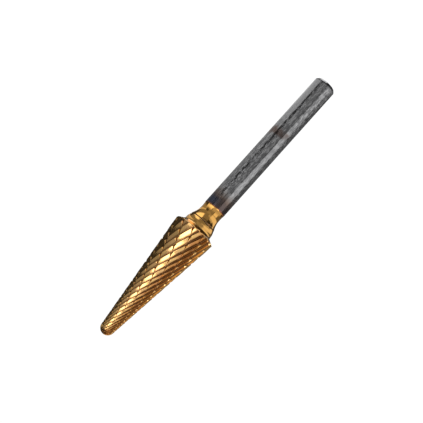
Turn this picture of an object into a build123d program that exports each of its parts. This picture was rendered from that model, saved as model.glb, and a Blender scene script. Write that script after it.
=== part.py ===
"""Rotary burr: a tapered, ball-nosed, fluted carbide head brazed to a plain steel shank.

Millimetres. +Z runs along the tool's axis, from the shank's free end to the cutting tip, and the
origin is the centre of the shank's free end face. The tool turns about +Z by the right-hand rule.
"""

import math
import os

from build123d import *

# Driving dimensions
OVERALL_LENGTH = 85.0
HEAD_LENGTH = 34.0  # from the widest edge to the tip
HEAD_DIAMETER = 11.6
NOSE_RADIUS = 1.9
SHANK_DIAMETER = 6.0

# Right-hand flutes. Their depth is a share of the radius, so the teeth shrink towards the tip
FLUTES = 20
HELIX_ANGLE = 22.0
FLUTE_DEPTH = 0.115
FLUTE_AZIMUTH = 7.0  # of one tooth's edge, where the head is widest
NOSE_FLAT_RADIUS = 0.25  # the teeth meet at this small flat at the tip

# Back of the head, lengths measured from the widest edge towards the shank
BACK_FACE_LENGTH = 1.0
STUB_FRONT_RADIUS = 4.1
STUB_BACK_RADIUS = 3.7
STUB_LENGTH = 3.0

# Brazing shim: a copper sheet with silver on both faces
SILVER_THICKNESS = 0.08
COPPER_THICKNESS = 0.14
SHIM_RADIUS = 3.62

# Neck, lengths measured from the widest edge towards the shank
NECK_FRONT_RADIUS = 3.64
NECK_WAIST_RADIUS = 2.88
NECK_WAIST = 6.2
NECK_BACK_RADIUS = 2.93
NECK_LENGTH = 7.55
NECK_STEP = 0.07  # the cone from the neck up to the full shank
SHANK_CHAMFER_LENGTH = 0.6
SHANK_CHAMFER_DEPTH = 0.5

# Worked out from them
HEAD_RADIUS = HEAD_DIAMETER / 2
SHANK_RADIUS = SHANK_DIAMETER / 2
EDGE_Z = OVERALL_LENGTH - HEAD_LENGTH
NOSE_CENTRE_Z = OVERALL_LENGTH - math.sqrt(NOSE_RADIUS**2 - NOSE_FLAT_RADIUS**2)
CONE_LENGTH = NOSE_CENTRE_Z - EDGE_Z
# The cone's side starts at the widest edge and touches the nose ball
CONE_ANGLE = math.acos(NOSE_RADIUS / math.hypot(HEAD_RADIUS, CONE_LENGTH)) - math.atan2(
    CONE_LENGTH, HEAD_RADIUS
)
NOSE_START_RADIUS = NOSE_RADIUS * math.cos(CONE_ANGLE)
STUB_BACK_Z = EDGE_Z - STUB_LENGTH
SHANK_FRONT_Z = STUB_BACK_Z - COPPER_THICKNESS - 2 * SILVER_THICKNESS
NECK_BACK_Z = EDGE_Z - NECK_LENGTH
TWIST = math.tan(math.radians(HELIX_ANGLE))
# One tooth as (share of radius, share of pitch): its edge, the gullet's floor, the foot of the back
TOOTH = [(1.0, 0.0), (1.0 - FLUTE_DEPTH, 0.12), (1.0 - 0.9 * FLUTE_DEPTH, 0.3)]


def cone_stations(count):
    """Radius, height and twist at even shares of the radius, from the widest edge to the nose."""
    stations = []
    for step in range(count + 1):
        radius = HEAD_RADIUS * (NOSE_START_RADIUS / HEAD_RADIUS) ** (step / count)
        height = EDGE_Z + (HEAD_RADIUS - radius) / math.tan(CONE_ANGLE)
        twist = TWIST * math.log(HEAD_RADIUS / radius) / math.sin(CONE_ANGLE)
        stations.append((radius, height, twist))
    return stations


def nose_stations(count):
    """The same over the nose ball, on a line that keeps its angle to the meridians."""
    start = math.tan((math.pi / 2 - CONE_ANGLE) / 2)
    end = math.tan(math.asin(NOSE_FLAT_RADIUS / NOSE_RADIUS) / 2)
    cone_twist = TWIST * math.log(HEAD_RADIUS / NOSE_START_RADIUS) / math.sin(CONE_ANGLE)
    stations = []
    for step in range(1, count + 1):
        share = (end / start) ** (step / count)
        polar = 2 * math.atan(start * share)
        radius = NOSE_RADIUS * math.sin(polar)
        height = NOSE_CENTRE_Z + NOSE_RADIUS * math.cos(polar)
        stations.append((radius, height, cone_twist - TWIST * math.log(share)))
    return stations


def star_section(shape, radius, height, turn):
    """A flat closed outline of (share of radius, share of pitch) corners, one set for each flute."""
    pitch = 2 * math.pi / FLUTES
    corners = []
    for tooth in range(FLUTES):
        for share, place in shape:
            angle = turn + (tooth + place) * pitch
            corners.append((share * radius * math.cos(angle), share * radius * math.sin(angle)))
    return Plane((0, 0, height)) * make_face(Polyline(*corners, close=True))


def toothed_body():
    """The toothed outline carried from the widest edge to the tip, turning as it goes."""
    start = math.radians(FLUTE_AZIMUTH)
    stations = cone_stations(count=40) + nose_stations(count=10)
    return loft([star_section(TOOTH, r, z, start + twist) for r, z, twist in stations])


def back_face():
    """From the toothed outline at the widest edge down to the front of the stub."""
    turn = math.radians(FLUTE_AZIMUTH)
    front = star_section(TOOTH, HEAD_RADIUS, EDGE_Z, turn)
    round_shape = [(1.0, place) for share, place in TOOTH]
    back = star_section(round_shape, STUB_FRONT_RADIUS, EDGE_Z - BACK_FACE_LENGTH, turn)
    return loft([back, front], ruled=True)


def turned(*outline):
    """A solid of revolution about Z from lines and arcs drawn as (radius, height)."""
    return revolve(Plane.XZ * make_face(Curve() + list(outline)), Axis.Z)


def carbide_head():
    front_z = EDGE_Z - BACK_FACE_LENGTH
    stub = turned(
        Polyline(
            (0, STUB_BACK_Z),
            (STUB_BACK_RADIUS, STUB_BACK_Z),
            (STUB_FRONT_RADIUS, front_z),
            (0, front_z),
            close=True,
        )
    )
    return toothed_body() + back_face() + stub


def shim_layer(bottom, thickness):
    return Pos(0, 0, bottom) * extrude(Circle(SHIM_RADIUS), thickness)


def shank():
    waist = (NECK_WAIST_RADIUS, EDGE_Z - NECK_WAIST)
    neck_back = (NECK_BACK_RADIUS, NECK_BACK_Z)
    neck_front = (NECK_FRONT_RADIUS, SHANK_FRONT_Z)
    return turned(
        Polyline(
            neck_front,
            (0, SHANK_FRONT_Z),
            (0, 0),
            (SHANK_RADIUS - SHANK_CHAMFER_DEPTH, 0),
            (SHANK_RADIUS, SHANK_CHAMFER_LENGTH),
            (SHANK_RADIUS, NECK_BACK_Z - NECK_STEP),
            neck_back,
        ),
        TangentArc(waist, neck_back, tangent=(0, -1)),
        TangentArc(waist, neck_front, tangent=(0, 1)),
    )


def burr():
    copper_z = SHANK_FRONT_Z + SILVER_THICKNESS
    return {
        "carbide_head": carbide_head(),
        "braze_layer_head_side": shim_layer(STUB_BACK_Z - SILVER_THICKNESS, SILVER_THICKNESS),
        "braze_copper_core": shim_layer(copper_z, COPPER_THICKNESS),
        "braze_layer_shank_side": shim_layer(SHANK_FRONT_Z, SILVER_THICKNESS),
        "shank": shank(),
    }


os.makedirs("parts", exist_ok=True)
for name, piece in burr().items():
    export_step(piece, f"parts/{name}.step")
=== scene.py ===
"""Looks for a rotary burr: a cross-cut, gold-coated carbide head on a necked and ground steel shank.

Metres, in the CAD frame: +Z runs along the tool from the shank's free end to the cutting tip.
"""

import math

import bmesh
import bpy
import numpy as np
from mathutils import Matrix, Vector


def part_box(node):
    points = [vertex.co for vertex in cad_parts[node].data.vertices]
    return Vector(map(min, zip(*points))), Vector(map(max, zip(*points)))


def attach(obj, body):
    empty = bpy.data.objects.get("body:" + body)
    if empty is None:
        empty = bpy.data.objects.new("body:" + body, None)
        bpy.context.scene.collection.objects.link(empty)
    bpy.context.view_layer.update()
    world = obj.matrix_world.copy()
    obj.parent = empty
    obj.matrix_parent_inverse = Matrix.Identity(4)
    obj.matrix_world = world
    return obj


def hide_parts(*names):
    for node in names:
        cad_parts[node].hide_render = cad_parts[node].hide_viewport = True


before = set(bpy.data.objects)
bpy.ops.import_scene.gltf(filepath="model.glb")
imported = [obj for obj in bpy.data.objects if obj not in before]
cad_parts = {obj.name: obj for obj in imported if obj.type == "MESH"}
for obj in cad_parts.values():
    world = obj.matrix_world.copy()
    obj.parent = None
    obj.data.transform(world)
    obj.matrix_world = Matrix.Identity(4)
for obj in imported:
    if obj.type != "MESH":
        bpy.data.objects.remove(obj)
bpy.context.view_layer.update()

MM = 0.001

# Places that come from the frame
head_low, head_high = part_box("carbide_head")
shank_low, shank_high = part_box("shank")
TIP_Z = head_high.z
STUB_BACK_Z = head_low.z
SHANK_FRONT_Z = shank_high.z

# The head's outline
HEAD_LENGTH = 34.0 * MM
HEAD_RADIUS = 5.8 * MM
NOSE_RADIUS = 1.9 * MM
NOSE_FLAT_RADIUS = 0.25 * MM
BACK_FACE_LENGTH = 1.0 * MM
STUB_FRONT_RADIUS = 4.1 * MM
STUB_BACK_RADIUS = 3.7 * MM

# The teeth: right-hand flutes crossed by left-hand chip breakers. Azimuths are where the head is
# widest, depths are shares of the radius, and places within a cut are shares of its pitch
FLUTES = 20
BREAKERS = 10
HELIX_ANGLE = math.radians(22.0)
FLUTE_AZIMUTH = math.radians(7.0)  # of one cutting edge
BREAKER_AZIMUTH = math.radians(28.0)  # of the bottom of one breaker
FLUTE_DEPTH = 0.112
RAKE_END = 0.08
GULLET_BOTTOM = 0.17
GULLET_END = 0.3
GULLET_CURVE = 4.0  # radians of a cosine for each pitch
LAND_START = 0.985
LAND_RISE = 0.012
BREAKER_DEPTH = 0.095
BREAKER_STEEP_WIDTH = 0.06
BREAKER_EASY_WIDTH = 0.15

# The neck and shank
NECK_FRONT_RADIUS = 3.64 * MM
NECK_WAIST_RADIUS = 2.88 * MM
NECK_WAIST = 6.2 * MM
NECK_BACK_RADIUS = 2.93 * MM
NECK_LENGTH = 7.55 * MM
NECK_STEP = 0.07 * MM
SHANK_RADIUS = 3.0 * MM
CHAMFER_LENGTH = 0.6 * MM
CHAMFER_DEPTH = 0.5 * MM
CORNER = 0.12 * MM  # size of the rounding of corners

# Finishes, and the place of a line of painted shade at the chamfer
STAIN_Z = 18.3 * MM
DARK_RIM_Z = 0.62 * MM
SCRATCH_DEPTH = 0.02 * MM

# Worked out from them
EDGE_Z = TIP_Z - HEAD_LENGTH
NECK_BACK_Z = EDGE_Z - NECK_LENGTH
NOSE_CENTRE_Z = TIP_Z - math.sqrt(NOSE_RADIUS**2 - NOSE_FLAT_RADIUS**2)
CONE_LENGTH = NOSE_CENTRE_Z - EDGE_Z
CONE_ANGLE = math.acos(NOSE_RADIUS / math.hypot(HEAD_RADIUS, CONE_LENGTH)) - math.atan2(
    CONE_LENGTH, HEAD_RADIUS
)
NOSE_START_RADIUS = NOSE_RADIUS * math.cos(CONE_ANGLE)
# How far a flute has turned when it leaves the cone, and when it ends at the tip
CONE_TWIST = math.tan(HELIX_ANGLE) * math.log(HEAD_RADIUS / NOSE_START_RADIUS) / math.sin(CONE_ANGLE)
NOSE_START_HALF = math.tan((math.pi / 2 - CONE_ANGLE) / 2)
NOSE_END_HALF = math.tan(math.asin(NOSE_FLAT_RADIUS / NOSE_RADIUS) / 2)
FULL_TWIST = CONE_TWIST + math.tan(HELIX_ANGLE) * math.log(NOSE_START_HALF / NOSE_END_HALF)


# ---------------------------------------------------------------- meshes


def mesh_piece(name, points, quads, uvs, sharp_angle, depth=None):
    """A mesh from an array of points and an array of corner indices, four to a face.

    Points that coincide are welded, so seams close and faces that have shrunk to a line go.
    uvs, one pair for each corner of each face, becomes the piece's own map, and depth, one value
    for each point, its attribute for how deep the point lies in a cut.
    """
    mesh = bpy.data.meshes.new(name)
    mesh.from_pydata(points.reshape(-1, 3), [], quads.reshape(-1, 4))
    layer = mesh.uv_layers.new(name="surface")
    layer.data.foreach_set("uv", np.ascontiguousarray(uvs, dtype=np.float32).ravel())
    if depth is not None:
        values = mesh.attributes.new("cut_depth", "FLOAT", "POINT")
        values.data.foreach_set("value", np.ascontiguousarray(depth, dtype=np.float32).ravel())
    weld = bmesh.new()
    weld.from_mesh(mesh)
    bmesh.ops.remove_doubles(weld, verts=weld.verts, dist=0.0004 * MM)
    weld.to_mesh(mesh)
    weld.free()
    mesh.shade_smooth()
    mesh.set_sharp_from_angle(angle=math.radians(sharp_angle))
    piece = bpy.data.objects.new(name, mesh)
    bpy.context.scene.collection.objects.link(piece)
    return piece


def grid_quads(rows, columns, first=0):
    """Corner indices of the faces between neighbouring rows and columns of a grid of points."""
    row, column = np.meshgrid(np.arange(rows - 1), np.arange(columns - 1), indexing="ij")
    corner = first + row * columns + column
    return np.stack([corner, corner + 1, corner + columns + 1, corner + columns], -1).reshape(-1, 4)


def ring_points(radius, height, azimuth):
    """Points from equal-shaped arrays of radius, height and azimuth about Z."""
    return np.stack([radius * np.cos(azimuth), radius * np.sin(azimuth), height], -1)


def outline_at(twist):
    """Radius, height and outward normal (radial, axial) of the head's outline.

    The place is given by the angle that a flute has turned there. A line that keeps its angle
    HELIX_ANGLE to the meridians turns by tan(HELIX_ANGLE) times the length over the radius, so on
    the cone the radius falls exponentially with the turn, and on the ball the tangent of half
    the polar angle does.
    """
    on_cone = np.minimum(twist, CONE_TWIST)
    cone_radius = HEAD_RADIUS * np.exp(-on_cone * math.sin(CONE_ANGLE) / math.tan(HELIX_ANGLE))
    cone_height = EDGE_Z + (HEAD_RADIUS - cone_radius) / math.tan(CONE_ANGLE)
    over = np.maximum(twist - CONE_TWIST, 0.0)
    polar = 2 * np.arctan(NOSE_START_HALF * np.exp(-over / math.tan(HELIX_ANGLE)))
    nose = twist > CONE_TWIST
    radius = np.where(nose, NOSE_RADIUS * np.sin(polar), cone_radius)
    height = np.where(nose, NOSE_CENTRE_Z + NOSE_RADIUS * np.cos(polar), cone_height)
    return radius, height, np.sin(polar), np.cos(polar)


def flute_depth(phase):
    """Depth of a flute as a share of its full depth, for a phase of 0 to 1 from edge to edge.

    The rake face drops on a quarter sine, the gullet's floor is the top of a cosine, and the
    tooth's back is a straight ground flat up to a narrow land. Its line is written in polar form:
    the radius at an angle between two given points of it.
    """
    rake = 0.93 * np.sin(np.clip(phase / RAKE_END, 0, 1) * math.pi / 2) ** 0.8
    floor = np.cos((phase - GULLET_BOTTOM) * GULLET_CURVE)
    pitch = 2 * math.pi / FLUTES
    foot = 1 - FLUTE_DEPTH * math.cos((GULLET_END - GULLET_BOTTOM) * GULLET_CURVE)
    past_foot = (phase - GULLET_END) * pitch
    before_land = (LAND_START - phase) * pitch
    radius = foot * math.sin((LAND_START - GULLET_END) * pitch)
    radius = radius / (foot * np.sin(past_foot) + np.sin(before_land))
    back = np.where(phase < LAND_START, (1 - radius) / FLUTE_DEPTH, 0)
    back = back + LAND_RISE * np.clip((1 - phase) / (1 - LAND_START), 0, 1)
    return np.where(phase < RAKE_END, rake, np.where(phase < GULLET_END, floor, back))


def breaker_depth(phase):
    """Depth of a chip breaker as a share of its full depth, for a phase in pitches from its bottom.

    A V with a steep wall towards the tip and an easier one towards the shank. Both lines run on
    below 0 outside the cut.
    """
    return 1.0 - np.where(phase > 0, phase / BREAKER_STEEP_WIDTH, -phase / BREAKER_EASY_WIDTH)


def toothed_head():
    """The coated head: a lattice of flute lines and chip-breaker lines laid over cone and nose.

    Columns follow the flutes, where azimuth minus twist is constant, and rows follow the chip
    breakers, where azimuth plus twist is constant. The surface is the outline moved inwards by
    the deeper of the two cuts, times the radius. Rows past the widest edge or the tip are held at
    that end, and weld there. Behind the edge each column runs straight to the back face, down it
    and along the stub, to a closed end.
    """
    flute_marks = np.concatenate(
        [
            [0, 0.02, 0.04, 0.06, RAKE_END],
            [0.125, GULLET_BOTTOM, 0.215, 0.26, GULLET_END],
            [0.38, 0.47, 0.57, 0.68, 0.78, 0.88, 0.95, LAND_START],
        ]
    )
    breaker_marks = np.concatenate(
        [
            np.linspace(-BREAKER_EASY_WIDTH, 0, 6),
            np.linspace(0, BREAKER_STEEP_WIDTH, 4)[1:],
            np.linspace(BREAKER_STEEP_WIDTH, 1 - BREAKER_EASY_WIDTH, 11)[1:-1],
        ]
    )
    flute_pitch = 2 * math.pi / FLUTES
    breaker_pitch = 2 * math.pi / BREAKERS
    along_flute = FLUTE_AZIMUTH + flute_pitch * (np.arange(FLUTES)[:, None] + flute_marks).ravel()
    along_flute = np.append(along_flute, FLUTE_AZIMUTH + 2 * math.pi)
    first = math.floor((along_flute[0] - BREAKER_AZIMUTH) / breaker_pitch) - 1
    last = math.ceil((along_flute[-1] + 2 * FULL_TWIST - BREAKER_AZIMUTH) / breaker_pitch) + 1
    along_breaker = BREAKER_AZIMUTH + breaker_pitch * (
        np.arange(first, last)[:, None] + breaker_marks
    ).ravel()

    across, along = np.meshgrid(along_flute, along_breaker)
    twist = np.clip((along - across) / 2, 0.0, FULL_TWIST)
    azimuth = across + twist
    flute_phase = (across - FLUTE_AZIMUTH) / flute_pitch
    flute_phase -= np.floor(flute_phase + 1e-9)
    breaker_phase = (azimuth + twist - BREAKER_AZIMUTH) / breaker_pitch
    breaker_phase -= np.round(breaker_phase)
    radius, height, radial, axial = outline_at(twist)
    cut = np.maximum(
        FLUTE_DEPTH * flute_depth(flute_phase), BREAKER_DEPTH * breaker_depth(breaker_phase)
    )
    inward = radius * cut
    cut_radius = radius - inward * radial
    cut_height = height - inward * axial
    points = ring_points(cut_radius, cut_height, azimuth)
    rows, columns = twist.shape

    # The back face, behind the widest edge: a cone that the columns meet at their own depths
    edge_radius = cut_radius[0]
    edge_height = cut_height[0]
    edge_azimuth = azimuth[0]
    back_z = EDGE_Z - BACK_FACE_LENGTH
    slope = (HEAD_RADIUS - STUB_FRONT_RADIUS) / BACK_FACE_LENGTH
    run = slope * (edge_height - back_z) - (edge_radius - STUB_FRONT_RADIUS)
    run = np.maximum(run / (math.sin(CONE_ANGLE) + slope * math.cos(CONE_ANGLE)), 0.0)
    rim_radius = edge_radius + run * math.sin(CONE_ANGLE)
    rim_height = edge_height - run * math.cos(CONE_ANGLE)
    face_end = np.array([STUB_FRONT_RADIUS + CORNER, back_z + CORNER / slope])
    shares = np.linspace(0, 1, 6)[:, None]
    face_radius = rim_radius + (face_end[0] - rim_radius) * shares
    face_height = rim_height + (face_end[1] - rim_height) * shares
    # The stub as (radius, height): a fillet, the taper, and a rounded end closed at the axis
    stub_profile = np.array(
        [
            [STUB_FRONT_RADIUS + 0.05 * MM, back_z],
            [STUB_FRONT_RADIUS + 0.005 * MM, back_z - 0.07 * MM],
            [STUB_FRONT_RADIUS - 0.035 * MM, back_z - 0.2 * MM],
            [STUB_FRONT_RADIUS - 0.06 * MM, back_z - 0.6 * MM],
            [STUB_FRONT_RADIUS - 0.11 * MM, back_z - 1.1 * MM],
            [STUB_BACK_RADIUS + 0.19 * MM, STUB_BACK_Z + 0.55 * MM],
            [STUB_BACK_RADIUS + 0.08 * MM, STUB_BACK_Z + 0.25 * MM],
            [STUB_BACK_RADIUS + 0.02 * MM, STUB_BACK_Z + 0.09 * MM],
            [STUB_BACK_RADIUS - 0.01 * MM, STUB_BACK_Z + 0.03 * MM],
            [STUB_BACK_RADIUS - 0.04 * MM, STUB_BACK_Z],
            [0.0, STUB_BACK_Z],
        ]
    )
    ones = np.ones(columns)
    back_radius = np.concatenate([edge_radius[None], face_radius, stub_profile[:, :1] * ones])
    back_height = np.concatenate([edge_height[None], face_height, stub_profile[:, 1:] * ones])
    back_points = ring_points(back_radius, back_height, edge_azimuth * np.ones_like(back_radius))

    # The flat at the tip
    tip = np.stack([points[-1], np.broadcast_to([0, 0, TIP_Z], (columns, 3))])
    all_points = np.concatenate([part.reshape(-1, 3) for part in (points, back_points, tip)])
    lattice = grid_quads(rows, columns)
    back = grid_quads(len(back_radius), columns, rows * columns)[:, ::-1]
    cap = grid_quads(2, columns, rows * columns + back_points.size // 3)
    quads = np.concatenate([lattice, back, cap])

    # The map runs along the columns in radians of twist, and across them in flutes
    map_step = 0.05
    length = np.concatenate(
        [
            twist.ravel(),
            np.repeat(-map_step * np.arange(len(back_radius)), columns),
            np.full(2 * columns, FULL_TWIST),
        ]
    )
    turn = np.concatenate([across.ravel(), np.tile(along_flute, len(back_radius) + 2)])
    uvs = np.stack([turn[quads] / flute_pitch, length[quads]], -1)
    collapsed = np.ptp(twist.ravel()[lattice], axis=1) < 1e-9
    keep = np.concatenate([~collapsed, np.ones(len(back) + len(cap), bool)])
    depth = np.concatenate([(cut / FLUTE_DEPTH).ravel(), np.zeros(len(all_points) - cut.size)])
    return mesh_piece("toothed_head", all_points, quads[keep], uvs[keep], 32.0, depth)


def turned_piece(name, profile, segments=256):
    """A surface of revolution about Z from (radius, height) points, from one pole to the other."""
    profile = np.asarray(profile, float)
    azimuth = np.linspace(0, 2 * math.pi, segments + 1)
    radius = profile[:, :1] * np.ones_like(azimuth)
    height = profile[:, 1:] * np.ones_like(azimuth)
    points = ring_points(radius, height, azimuth * np.ones_like(radius))
    quads = grid_quads(len(profile), segments + 1)
    turn = np.tile(azimuth / (2 * math.pi), len(profile))
    along = np.repeat(np.cumsum(np.append(0, np.hypot(*np.diff(profile, axis=0).T))), segments + 1)
    uvs = np.stack([turn[quads], along[quads] / (10 * MM)], -1)
    return mesh_piece(name, points, quads, uvs, 30.0)


def arc_points(start, end, count):
    """Points of the circle that leaves start parallel to the axis and widens to end."""
    rise = end[0] - start[0]
    run = end[1] - start[1]
    radius = (run * run + rise * rise) / (2 * rise)
    angles = np.linspace(0, math.asin(min(abs(run) / radius, 1.0)), count)
    height = start[1] + np.sign(run) * radius * np.sin(angles)
    wide = start[0] + radius * (1 - np.cos(angles))
    return np.stack([wide, height], -1)


def rounded(points, size, count=5):
    """The same corners, with every inner one replaced by a parabola that starts size away from it.

    A ring just outside each end of the parabola keeps the shading of the long faces flat.
    """
    points = np.asarray(points, float)
    out = [points[0]]
    for before, corner, after in zip(points[:-2], points[1:-1], points[2:]):
        into, away = corner - before, after - corner
        reach = min(size, 0.45 * np.hypot(*into), 0.45 * np.hypot(*away))
        start = corner - into / np.hypot(*into) * reach
        end = corner + away / np.hypot(*away) * reach
        share = np.linspace(0, 1, count)[:, None]
        out.append(start + 0.2 * (start - corner))
        out.extend((1 - share) ** 2 * start + 2 * share * (1 - share) * corner + share**2 * end)
        out.append(end + 0.2 * (end - corner))
    out.append(points[-1])
    return np.array(out)


def ground_shank():
    """The shank: end face, chamfer, ground cylinder, step, and a neck of two arcs about its waist."""
    waist = (NECK_WAIST_RADIUS, EDGE_Z - NECK_WAIST)
    back_arc = arc_points(waist, (NECK_BACK_RADIUS, NECK_BACK_Z), 10)[::-1]
    front_arc = arc_points(waist, (NECK_FRONT_RADIUS, SHANK_FRONT_Z), 24)
    lower = rounded(
        [
            (0.0, 0.0),
            (SHANK_RADIUS - CHAMFER_DEPTH, 0.0),
            (SHANK_RADIUS, CHAMFER_LENGTH),
            (SHANK_RADIUS, NECK_BACK_Z - NECK_STEP),
            (NECK_BACK_RADIUS, NECK_BACK_Z),
            tuple(back_arc[2]),
        ],
        CORNER,
    )
    profile = np.concatenate(
        [
            lower[:-1],
            back_arc[2:],
            front_arc[1:-1],
            [(NECK_FRONT_RADIUS - 0.02 * MM, SHANK_FRONT_Z), (0.0, SHANK_FRONT_Z)],
        ]
    )
    return turned_piece("necked_shank", profile)


def braze_ring(name, cad_node, bulge):
    """One layer of the shim: a disc with a parabola for its rim, out by the bulge in the middle."""
    low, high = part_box(cad_node)
    rim = high.x
    across = np.linspace(-1, 1, 7)
    height = (low.z + high.z) / 2 + across * (high.z - low.z) / 2
    radius = rim - bulge * across**2
    profile = [(0.0, low.z), *zip(radius, height), (0.0, high.z)]
    return turned_piece(name, profile, segments=128)


# ---------------------------------------------------------------- materials


def new_material(name):
    material = bpy.data.materials.new(name)
    material.use_nodes = True
    tree = material.node_tree
    return tree, tree.nodes["Principled BSDF"], material


def node(tree, kind, inputs=(), **settings):
    """A node with its settings, and its inputs joined to a socket or set to a value."""
    made = tree.nodes.new(kind)
    for key, value in settings.items():
        setattr(made, key, value)
    for key, value in dict(inputs).items():
        if isinstance(value, bpy.types.NodeSocket):
            tree.links.new(value, made.inputs[key])
        else:
            made.inputs[key].default_value = value
    return made


def maths(tree, operation, first, second=0.0, third=0.0):
    made = node(tree, "ShaderNodeMath", {0: first, 1: second, 2: third}, operation=operation)
    return made.outputs[0]


def fade(tree, value, start, end, low=0.0, high=1.0):
    """Goes smoothly from low to high as value goes from start to end, and stays there."""
    inputs = {"Value": value, "From Min": start, "From Max": end, "To Min": low, "To Max": high}
    return node(tree, "ShaderNodeMapRange", inputs, interpolation_type="SMOOTHSTEP").outputs[0]


def blend_colour(tree, share, first, second):
    """From the first colour to the second as share goes from 0 to 1."""
    inputs = {0: share, 6: first, 7: second}
    return node(tree, "ShaderNodeMix", inputs, data_type="RGBA").outputs[2]


def near(tree, value, middle, outer, inner):
    """1 while value is less than inner away from middle, fading to 0 at outer."""
    away = maths(tree, "ABSOLUTE", maths(tree, "SUBTRACT", value, middle))
    return fade(tree, away, outer, inner)


def add_relief(tree, shader, height, strength):
    """Scratches as bump on the shader, from a height in scratch depths."""
    inputs = {"Height": height, "Strength": strength, "Distance": SCRATCH_DEPTH}
    bump = node(tree, "ShaderNodeBump", inputs)
    tree.links.new(bump.outputs[0], shader.inputs["Normal"])


def effect_group(name, inputs, outputs):
    """An empty shader node group with named inputs and outputs."""
    group = bpy.data.node_groups.new(name, "ShaderNodeTree")
    for label, kind, value in inputs:
        socket = group.interface.new_socket(label, in_out="INPUT", socket_type=kind)
        if value is not None:
            socket.default_value = value
    for label, kind in outputs:
        group.interface.new_socket(label, in_out="OUTPUT", socket_type=kind)
    return group, group.nodes.new("NodeGroupInput"), group.nodes.new("NodeGroupOutput")


def grinding_marks():
    """Fine parallel scratches: noise drawn out along one direction, in two sizes."""
    group, given, put = effect_group(
        "grinding_marks",
        [
            ("Vector", "NodeSocketVector", None),
            ("Across", "NodeSocketFloat", 40.0),
            ("Along", "NodeSocketFloat", 2.0),
        ],
        [("Height", "NodeSocketFloat"), ("Mask", "NodeSocketFloat")],
    )
    axes = node(group, "ShaderNodeSeparateXYZ", {0: given.outputs["Vector"]})
    x = maths(group, "MULTIPLY", axes.outputs[0], given.outputs["Across"])
    y = maths(group, "MULTIPLY", axes.outputs[1], given.outputs["Across"])
    z = maths(group, "MULTIPLY", axes.outputs[2], given.outputs["Along"])
    stretched = node(group, "ShaderNodeCombineXYZ", {0: x, 1: y, 2: z}).outputs[0]
    noise = {"Vector": stretched, "Detail": 2.0, "Roughness": 0.6}
    broad = node(group, "ShaderNodeTexNoise", {**noise, "Scale": 1.0}).outputs["Fac"]
    fine = node(group, "ShaderNodeTexNoise", {**noise, "Scale": 3.1}).outputs["Fac"]
    group.links.new(maths(group, "MULTIPLY_ADD", fine, 0.45, broad), put.inputs["Height"])
    group.links.new(fade(group, broad, 0.42, 0.62), put.inputs["Mask"])
    return group


def uneven_tone():
    """Slow cloudy variation, for the colour and the gloss of a coated or ground surface."""
    group, given, put = effect_group(
        "uneven_tone",
        [("Vector", "NodeSocketVector", None), ("Scale", "NodeSocketFloat", 300.0)],
        [("Mask", "NodeSocketFloat")],
    )
    clouds = node(
        group,
        "ShaderNodeTexNoise",
        {"Vector": given.outputs["Vector"], "Scale": given.outputs["Scale"], "Detail": 4.0},
    )
    group.links.new(fade(group, clouds.outputs["Fac"], 0.35, 0.68), put.inputs["Mask"])
    return group


def use(tree, group, inputs):
    """The outputs of a group put in a material, with its inputs joined or set."""
    return node(tree, "ShaderNodeGroup", inputs, node_tree=group).outputs


GOLD = (0.86, 0.53, 0.19, 1)
ROSE_GOLD = (0.82, 0.46, 0.22, 1)
DEEP_GOLD = (0.86, 0.46, 0.12, 1)  # on the stub and the neck
GULLET_SHADE_AMBER = (0.22, 0.1, 0.04, 1)  # painted shade down in the cuts

STEEL_DARK = (0.29, 0.29, 0.295, 1)
STEEL_LIGHT = (0.5, 0.5, 0.505, 1)
STAIN_BROWN = (0.2, 0.145, 0.125, 1)
RIM_SHADE_BLACK = (0.05, 0.05, 0.055, 1)
TINT_STRAW = (0.22, 0.16, 0.13, 1)
TINT_BROWN = (0.15, 0.115, 0.105, 1)
TINT_BLUE = (0.09, 0.1, 0.14, 1)
TINT_COPPER = (0.3, 0.12, 0.1, 1)


def coated_carbide(marks, tone):
    """Gold titanium nitride, bright as ground, rougher down in the gullets, with shade painted into
    its colour there.
    """
    tree, shader, material = new_material("titanium_nitride_gold")
    surface = node(tree, "ShaderNodeUVMap", uv_map="surface").outputs[0]
    spot = node(tree, "ShaderNodeTexCoord").outputs["Object"]
    height = node(tree, "ShaderNodeSeparateXYZ", {0: spot}).outputs[2]
    depth = node(tree, "ShaderNodeAttribute", attribute_name="cut_depth").outputs["Fac"]
    turned = node(tree, "ShaderNodeMapping", {"Vector": surface, "Rotation": (math.pi / 2, 0, 0)})
    lines = use(tree, marks, {"Vector": turned.outputs[0], "Across": 14.0, "Along": 3.0})
    clouds = use(tree, tone, {"Vector": spot, "Scale": 420.0})["Mask"]

    colour = blend_colour(tree, maths(tree, "MULTIPLY", clouds, 0.5), GOLD, ROSE_GOLD)
    stub = fade(tree, height, EDGE_Z - 1.3 * MM, EDGE_Z - 0.9 * MM, 0.85, 0.0)
    colour = blend_colour(tree, stub, colour, DEEP_GOLD)
    # Painted shade: the colour goes dark amber down in the cuts, where the gullets lie in shade
    deep = fade(tree, depth, 0.5, 0.9, 0.0, 0.92)
    tree.links.new(blend_colour(tree, deep, colour, GULLET_SHADE_AMBER), shader.inputs["Base Color"])

    gloss = maths(tree, "MULTIPLY_ADD", lines["Mask"], 0.07, 0.11)
    tree.links.new(maths(tree, "MULTIPLY_ADD", deep, 0.12, gloss), shader.inputs["Roughness"])
    add_relief(tree, shader, lines["Height"], 0.4)
    shader.inputs["Metallic"].default_value = 1.0
    return material


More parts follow.
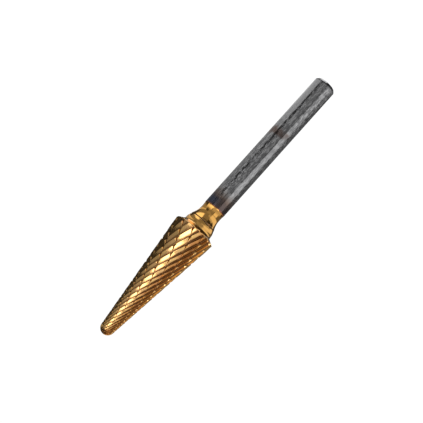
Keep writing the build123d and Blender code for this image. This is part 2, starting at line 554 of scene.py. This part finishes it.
def necked_steel(marks, tone):
    """Steel ground lengthways, with gold on the neck and a heat tint that runs out behind it."""
    tree, shader, material = new_material("ground_steel_gold_neck")
    spot = node(tree, "ShaderNodeTexCoord").outputs["Object"]
    across, _, height = node(tree, "ShaderNodeSeparateXYZ", {0: spot}).outputs
    surface = node(tree, "ShaderNodeUVMap", uv_map="surface").outputs[0]
    clouds = use(tree, tone, {"Vector": spot, "Scale": 300.0})["Mask"]
    patches = use(tree, tone, {"Vector": spot, "Scale": 110.0})["Mask"]
    streaks = use(tree, marks, {"Vector": spot, "Across": 2600.0, "Along": 800.0})
    rings = use(tree, marks, {"Vector": surface, "Across": 40.0, "Along": 1.0})

    # Bare steel, with an uneven stain that is weaker on the -X side, and painted shade at the end's
    # corners
    steel = blend_colour(tree, streaks["Mask"], STEEL_DARK, STEEL_LIGHT)
    drift = maths(tree, "MULTIPLY_ADD", patches, 5.0 * MM, height)
    stain = near(tree, drift, STAIN_Z + 2.5 * MM, 2.0 * MM, 0.2 * MM)
    stain = maths(tree, "MULTIPLY", stain, fade(tree, clouds, 0.1, 0.6, 0.35, 0.9))
    stain = maths(tree, "MULTIPLY", stain, fade(tree, across, -2.4 * MM, -0.4 * MM, 0.25, 1.0))
    steel = blend_colour(tree, stain, steel, STAIN_BROWN)
    # Painted shade: a dark line at the chamfer's corner and on the end face, standing in for their
    # dark reflections
    rim = near(tree, height, DARK_RIM_Z, 0.3 * MM, 0.12 * MM)
    rim = maths(tree, "MAXIMUM", rim, fade(tree, height, 0.16 * MM, 0.08 * MM))
    steel = blend_colour(tree, maths(tree, "MULTIPLY", rim, 0.8), steel, RIM_SHADE_BLACK)

    # From the neck backwards: gold, a copper-red border, the tint, then the steel. In millimetres
    behind = maths(tree, "MULTIPLY_ADD", height, -1 / MM, NECK_BACK_Z / MM)
    border = maths(tree, "MULTIPLY_ADD", clouds, 0.4, behind)
    reach = maths(tree, "MULTIPLY_ADD", patches, -2.5, behind)
    tint = blend_colour(tree, fade(tree, across, -0.5 * MM, 2.0 * MM), TINT_BROWN, TINT_BLUE)
    colour = blend_colour(tree, fade(tree, reach, 0.8, 5.5), TINT_STRAW, steel)
    colour = blend_colour(tree, fade(tree, reach, 0.0, 2.2), tint, colour)
    colour = blend_colour(tree, fade(tree, border, 0.3, 0.65), TINT_COPPER, colour)
    colour = blend_colour(tree, fade(tree, border, 0.05, 0.3), DEEP_GOLD, colour)
    tree.links.new(colour, shader.inputs["Base Color"])

    bare = fade(tree, border, 0.0, 0.5)
    ground = maths(tree, "MULTIPLY_ADD", streaks["Mask"], 0.1, 0.13)
    coated = maths(tree, "MULTIPLY_ADD", clouds, 0.06, 0.1)
    roughness = node(tree, "ShaderNodeMix", {0: bare, 2: coated, 3: ground}).outputs[0]
    tree.links.new(roughness, shader.inputs["Roughness"])
    lengthways = maths(tree, "MULTIPLY", streaks["Height"], bare)
    add_relief(tree, shader, maths(tree, "MULTIPLY_ADD", rings["Height"], 0.15, lengthways), 0.2)
    shader.inputs["Metallic"].default_value = 1.0
    return material


def brazed(name, colour, roughness, tone):
    """A thin line of braze under the coating: dull, and mottled from the flame."""
    tree, shader, material = new_material(name)
    spot = node(tree, "ShaderNodeTexCoord").outputs["Object"]
    clouds = use(tree, tone, {"Vector": spot, "Scale": 900.0})["Mask"]
    dark = tuple(0.45 * part for part in colour)
    mottled = blend_colour(tree, clouds, colour + (1,), dark + (1,))
    tree.links.new(mottled, shader.inputs["Base Color"])
    tree.links.new(fade(tree, clouds, 0, 1, roughness, roughness + 0.15), shader.inputs["Roughness"])
    shader.inputs["Metallic"].default_value = 1.0
    return material


# ---------------------------------------------------------------- pieces


def dress(piece, cad_node, material):
    """Gives a piece its material, hangs it on the root body and hides the CAD node it stands in for.
    """
    piece.data.materials.append(material)
    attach(piece, "root")
    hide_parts(cad_node)


MARKS = grinding_marks()
TONE = uneven_tone()
SILVER = brazed("silver_braze", (0.5, 0.33, 0.16), 0.35, TONE)
COPPER = brazed("copper_shim", (0.2, 0.09, 0.05), 0.4, TONE)

dress(toothed_head(), "carbide_head", coated_carbide(MARKS, TONE))
dress(ground_shank(), "shank", necked_steel(MARKS, TONE))
for cad_node in ("braze_layer_head_side", "braze_layer_shank_side"):
    ring = braze_ring(cad_node + "_rim", cad_node, 0.02 * MM)
    dress(ring, cad_node, SILVER)
ring = braze_ring("braze_copper_core_rim", "braze_copper_core", 0.03 * MM)
dress(ring, "braze_copper_core", COPPER)


# ---------------------------------------------------------------- floor, light and camera


BACKGROUND_WHITE = 1.05


def pale_floor():
    """A wide pale floor just under the shank's free end, seen by the camera only."""
    half = 2.0
    height = shank_low.z - 0.05 * MM
    corners = [(-half, -half), (half, -half), (half, half), (-half, half)]
    mesh = bpy.data.meshes.new("floor")
    mesh.from_pydata([(x, y, height) for x, y in corners], [], [(0, 1, 2, 3)])
    floor = bpy.data.objects.new("floor", mesh)
    bpy.context.scene.collection.objects.link(floor)
    material = bpy.data.materials.new("pale_floor")
    material.use_nodes = True
    tree = material.node_tree
    tree.nodes.clear()
    glow = node(tree, "ShaderNodeEmission", {"Strength": BACKGROUND_WHITE})
    node(tree, "ShaderNodeOutputMaterial", {"Surface": glow.outputs[0]})
    mesh.materials.append(material)
    floor.visible_glossy = False
    floor.visible_diffuse = False
    floor.visible_shadow = False


# Light panels round the tool: (from azimuth, to azimuth, from elevation, to elevation, brightness),
# in degrees. Azimuth 0 is the camera's side and grows towards -X
PANELS = [
    # Above: what the backs of the teeth mirror
    (-46, -12, 3, 60, 0.26),
    (-12, 24, 14, 60, 0.4),
    (-20, 16, 3, 14, 0.8),
    (15, 49, 14, 26, 4.0),
    (26, 56, 26, 60, 3.0),
    (-100, -60, 27, 60, 0.4),
    (48, 86, 3, 26, 0.85),
    # About level: the rake faces
    (-58, -12, -3, 4, 1.9),
    (-85, -18, -7, -3, 1.2),
    (-12, 100, -7, 3, 0.5),
    # Just below: the shank's front half
    (-170, -66, -14.6, -7, 0.29),
    (-41, 22, -14.6, -7, 0.22),
    (28, 76, -14.6, -7, 0.95),
    (76, 165, -14.6, -7, 0.12),
    # A little lower: its free end
    (-170, -65, -17.5, -14.6, 1.0),
    (-34, 2, -17.5, -14.6, 0.3),
    (2, 30, -17.5, -14.6, 0.15),
    (30, 74, -17.5, -14.6, 0.34),
    (74, 165, -17.5, -14.6, 0.06),
    # The collar, then the flare of the neck
    (-120, -35, -27, -17.5, 0.22),
    (-35, 22, -27, -17.5, 0.3),
    (-120, 0, -37, -27, 0.2),
    (0, 26, -37, -27, 0.45),
    (26, 130, -37, -17.5, 0.9),
    (-150, -45, -60, -37, 1.4),
    (-45, 30, -60, -37, 0.2),
    (30, 80, -46, -37, 0.5),
    # The chamfer, and the back of the head
    (-158, -100, -88, -60, 1.5),
    (158, 200, -70, -30, 0.35),
    (-200, -158, -70, -30, 0.35),
]
# Warmer and weaker ones, on the side away from the main light
WARM_PANELS = [
    (84, 112, 3, 60, 0.6),
    (112, 150, 3, 60, 0.25),
]
WARM = (1.0, 0.72, 0.6, 1)
PANEL_EDGE = 2.5  # half the width of a side's soft edge; a top or bottom edge has half of that
DARK_ROOM = 0.04


def panel_light(tree, azimuth, elevation, panels, total):
    """Brightness of the panels in a direction, added to what is given."""
    side, level = PANEL_EDGE, PANEL_EDGE / 2
    for left, right, low, high, brightness in panels:
        mask = fade(tree, azimuth, left - side, left + side, 0.0, brightness)
        for edge in (
            fade(tree, azimuth, right - side, right + side, 1.0, 0.0),
            fade(tree, elevation, low - level, low + level, 0.0, 1.0),
            fade(tree, elevation, high - level, high + level, 1.0, 0.0),
        ):
            mask = maths(tree, "MULTIPLY", mask, edge)
        total = maths(tree, "ADD", mask, total)
    return total


def studio_world():
    """White to the camera. To the metal, a dark room with soft-edged light panels."""
    world = bpy.data.worlds.new("studio")
    bpy.context.scene.world = world
    world.use_nodes = True
    tree = world.node_tree
    tree.nodes.clear()
    where = node(tree, "ShaderNodeTexCoord").outputs["Generated"]
    axes = node(tree, "ShaderNodeSeparateXYZ", {0: where}).outputs
    minus_x = maths(tree, "MULTIPLY", axes[0], -1.0)
    minus_y = maths(tree, "MULTIPLY", axes[1], -1.0)
    azimuth = maths(tree, "DEGREES", maths(tree, "ARCTAN2", minus_x, minus_y))
    elevation = maths(tree, "DEGREES", maths(tree, "ARCSINE", axes[2]))

    def background(colour, strength):
        inputs = {"Color": colour, "Strength": strength}
        return node(tree, "ShaderNodeBackground", inputs).outputs[0]

    plain = background((1, 1, 1, 1), panel_light(tree, azimuth, elevation, PANELS, DARK_ROOM))
    warm = background(WARM, panel_light(tree, azimuth, elevation, WARM_PANELS, 0.0))
    panels = node(tree, "ShaderNodeAddShader", {0: plain, 1: warm}).outputs[0]
    white = background((1, 1, 1, 1), BACKGROUND_WHITE)
    seen = node(tree, "ShaderNodeLightPath").outputs["Is Camera Ray"]
    mix = node(tree, "ShaderNodeMixShader", {0: seen, 1: panels, 2: white})
    node(tree, "ShaderNodeOutputWorld", {"Surface": mix.outputs[0]})


def camera():
    """Looks at the tool's side from a little towards the tip, turned to put the tip low and left."""
    distance = 0.340
    elevation = math.radians(9.5)
    lean = math.radians(138.1)
    aim = Vector((0.0, 0.0, 44.3 * MM))
    back = Vector((0, -math.cos(elevation), math.sin(elevation)))
    upright = (-back).to_track_quat("-Z", "Y")
    turn = Matrix.Rotation(-lean, 4, "Z").to_quaternion()
    data = bpy.data.cameras.new("camera")
    data.lens = 115.5
    data.shift_x = -0.001
    data.shift_y = 0.0009
    eye = bpy.data.objects.new("camera", data)
    eye.rotation_mode = "QUATERNION"
    eye.location = aim + back * distance
    eye.rotation_quaternion = upright @ turn
    bpy.context.scene.collection.objects.link(eye)
    bpy.context.scene.camera = eye


pale_floor()
studio_world()
camera()
bpy.context.scene.view_settings.view_transform = "Standard"
